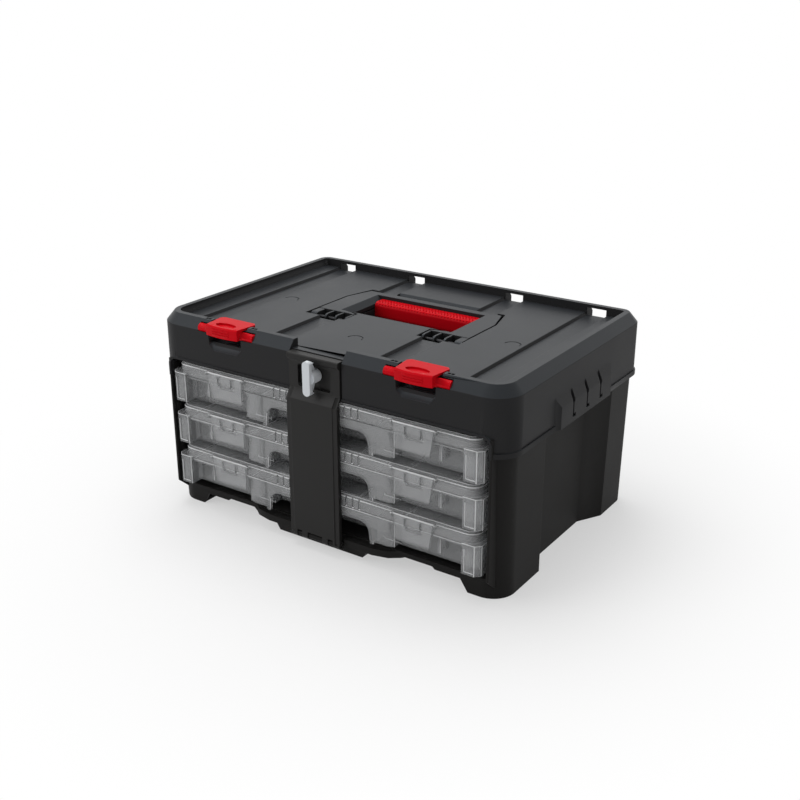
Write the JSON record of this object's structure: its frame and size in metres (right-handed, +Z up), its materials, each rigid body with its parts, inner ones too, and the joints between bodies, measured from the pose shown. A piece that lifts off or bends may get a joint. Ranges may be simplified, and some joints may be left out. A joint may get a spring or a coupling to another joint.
{
  "type": "stackable tool case",
  "caption": "Stackable tool case with a fold-flat handle, stacking latches and clear pull-out organisers in a front bay behind a drop-down lock bar.",
  "frame": {"origin": "on the floor under the centre of the outline", "axes": "+X to the user's right along the front, -Y towards the user, +Z up"},
  "size_m": [0.491, 0.3476, 0.246],
  "materials": {
    "body_plastic": "fine grain",
    "cover_plastic": "fine grain",
    "bar_plastic": "fine grain",
    "red_plastic": "satin",
    "knob_plastic": "satin",
    "clear_plastic": "clear",
    "pin_steel": "drawn"
  },
  "bodies": {
    "case": {"body_shell": "body_plastic", "top_cover": "cover_plastic", "lock_bar_pin": "pin_steel", "handle_pins": "pin_steel"},
    "handle": {"handle_frame": "cover_plastic", "handle_grip": "red_plastic"},
    "left_stack_latch": {"stack_latch_left": "red_plastic"},
    "right_stack_latch": {"stack_latch_right": "red_plastic"},
    "lock_bar": {"lock_bar": "bar_plastic"},
    "lock_knob": {"lock_knob": "knob_plastic", "lock_cam": "bar_plastic", "lock_cam_screw": "pin_steel"},
    "organiser_1": {"organiser_1_tray": "clear_plastic", "organiser_1_lid": "clear_plastic", "organiser_1_dividers": "clear_plastic", "organiser_1_lid_pins": "clear_plastic"},
    "organiser_1_right_latch": {"organiser_1_latch_right": "clear_plastic"},
    "organiser_1_left_latch": {"organiser_1_latch_left": "clear_plastic"},
    "organiser_2": {"organiser_2_tray": "clear_plastic", "organiser_2_lid": "clear_plastic", "organiser_2_dividers": "clear_plastic", "organiser_2_lid_pins": "clear_plastic"},
    "organiser_2_right_latch": {"organiser_2_latch_right": "clear_plastic"},
    "organiser_2_left_latch": {"organiser_2_latch_left": "clear_plastic"},
    "organiser_3": {"organiser_3_tray": "clear_plastic", "organiser_3_lid": "clear_plastic", "organiser_3_dividers": "clear_plastic", "organiser_3_lid_pins": "clear_plastic"},
    "organiser_3_right_latch": {"organiser_3_latch_right": "clear_plastic"},
    "organiser_3_left_latch": {"organiser_3_latch_left": "clear_plastic"}
  },
  "joints": [
    {"name": "handle_fold", "type": "hinge", "parent": "case", "child": "handle", "pos_m": [0, -0.024, 0.23], "axis": [1, 0, 0], "range_deg": [0, 90]},
    {"name": "left_stack_latch_swing", "type": "hinge", "parent": "case", "child": "left_stack_latch", "pos_m": [-0.131, -0.1523, 0.2365], "axis": [1, 0, 0], "range_deg": [0, 95]},
    {"name": "right_stack_latch_swing", "type": "hinge", "parent": "case", "child": "right_stack_latch", "pos_m": [0.131, -0.1523, 0.2365], "axis": [1, 0, 0], "range_deg": [0, 95]},
    {"name": "lock_bar_swing", "type": "hinge", "parent": "case", "child": "lock_bar", "pos_m": [0, -0.1623, 0.016], "axis": [1, 0, 0], "range_deg": [0, 90]},
    {"name": "lock_knob_turn", "type": "hinge", "parent": "lock_bar", "child": "lock_knob", "pos_m": [0, -0.1738, 0.214], "axis": [0, 1, 0], "range_deg": [0, 90]},
    {"name": "organiser_1_slide", "type": "slide", "parent": "case", "child": "organiser_1", "axis": [0, -1, 0], "range_m": [0, 0.067]},
    {"name": "organiser_1_right_latch_swing", "type": "hinge", "parent": "organiser_1", "child": "organiser_1_right_latch", "pos_m": [0.131, -0.161, 0.0774], "axis": [-1, 0, 0], "range_deg": [0, 70]},
    {"name": "organiser_1_left_latch_swing", "type": "hinge", "parent": "organiser_1", "child": "organiser_1_left_latch", "pos_m": [-0.131, -0.161, 0.0774], "axis": [-1, 0, 0], "range_deg": [0, 70]},
    {"name": "organiser_2_slide", "type": "slide", "parent": "case", "child": "organiser_2", "axis": [0, -1, 0], "range_m": [0, 0.153]},
    {"name": "organiser_2_right_latch_swing", "type": "hinge", "parent": "organiser_2", "child": "organiser_2_right_latch", "pos_m": [0.131, -0.161, 0.1314], "axis": [-1, 0, 0], "range_deg": [0, 70]},
    {"name": "organiser_2_left_latch_swing", "type": "hinge", "parent": "organiser_2", "child": "organiser_2_left_latch", "pos_m": [-0.131, -0.161, 0.1314], "axis": [-1, 0, 0], "range_deg": [0, 70]},
    {"name": "organiser_3_slide", "type": "slide", "parent": "case", "child": "organiser_3", "axis": [0, -1, 0], "range_m": [0, 0.216]},
    {"name": "organiser_3_right_latch_swing", "type": "hinge", "parent": "organiser_3", "child": "organiser_3_right_latch", "pos_m": [0.131, -0.161, 0.1854], "axis": [-1, 0, 0], "range_deg": [0, 70]},
    {"name": "organiser_3_left_latch_swing", "type": "hinge", "parent": "organiser_3", "child": "organiser_3_left_latch", "pos_m": [-0.131, -0.161, 0.1854], "axis": [-1, 0, 0], "range_deg": [0, 70]}
  ],
  "couplings": [
    {"joint": "organiser_1_slide", "follows": "lock_bar_swing", "m_per_rad": 0.042},
    {"joint": "organiser_2_slide", "follows": "lock_bar_swing", "m_per_rad": 0.097},
    {"joint": "organiser_3_slide", "follows": "lock_bar_swing", "m_per_rad": 0.137}
  ]
}
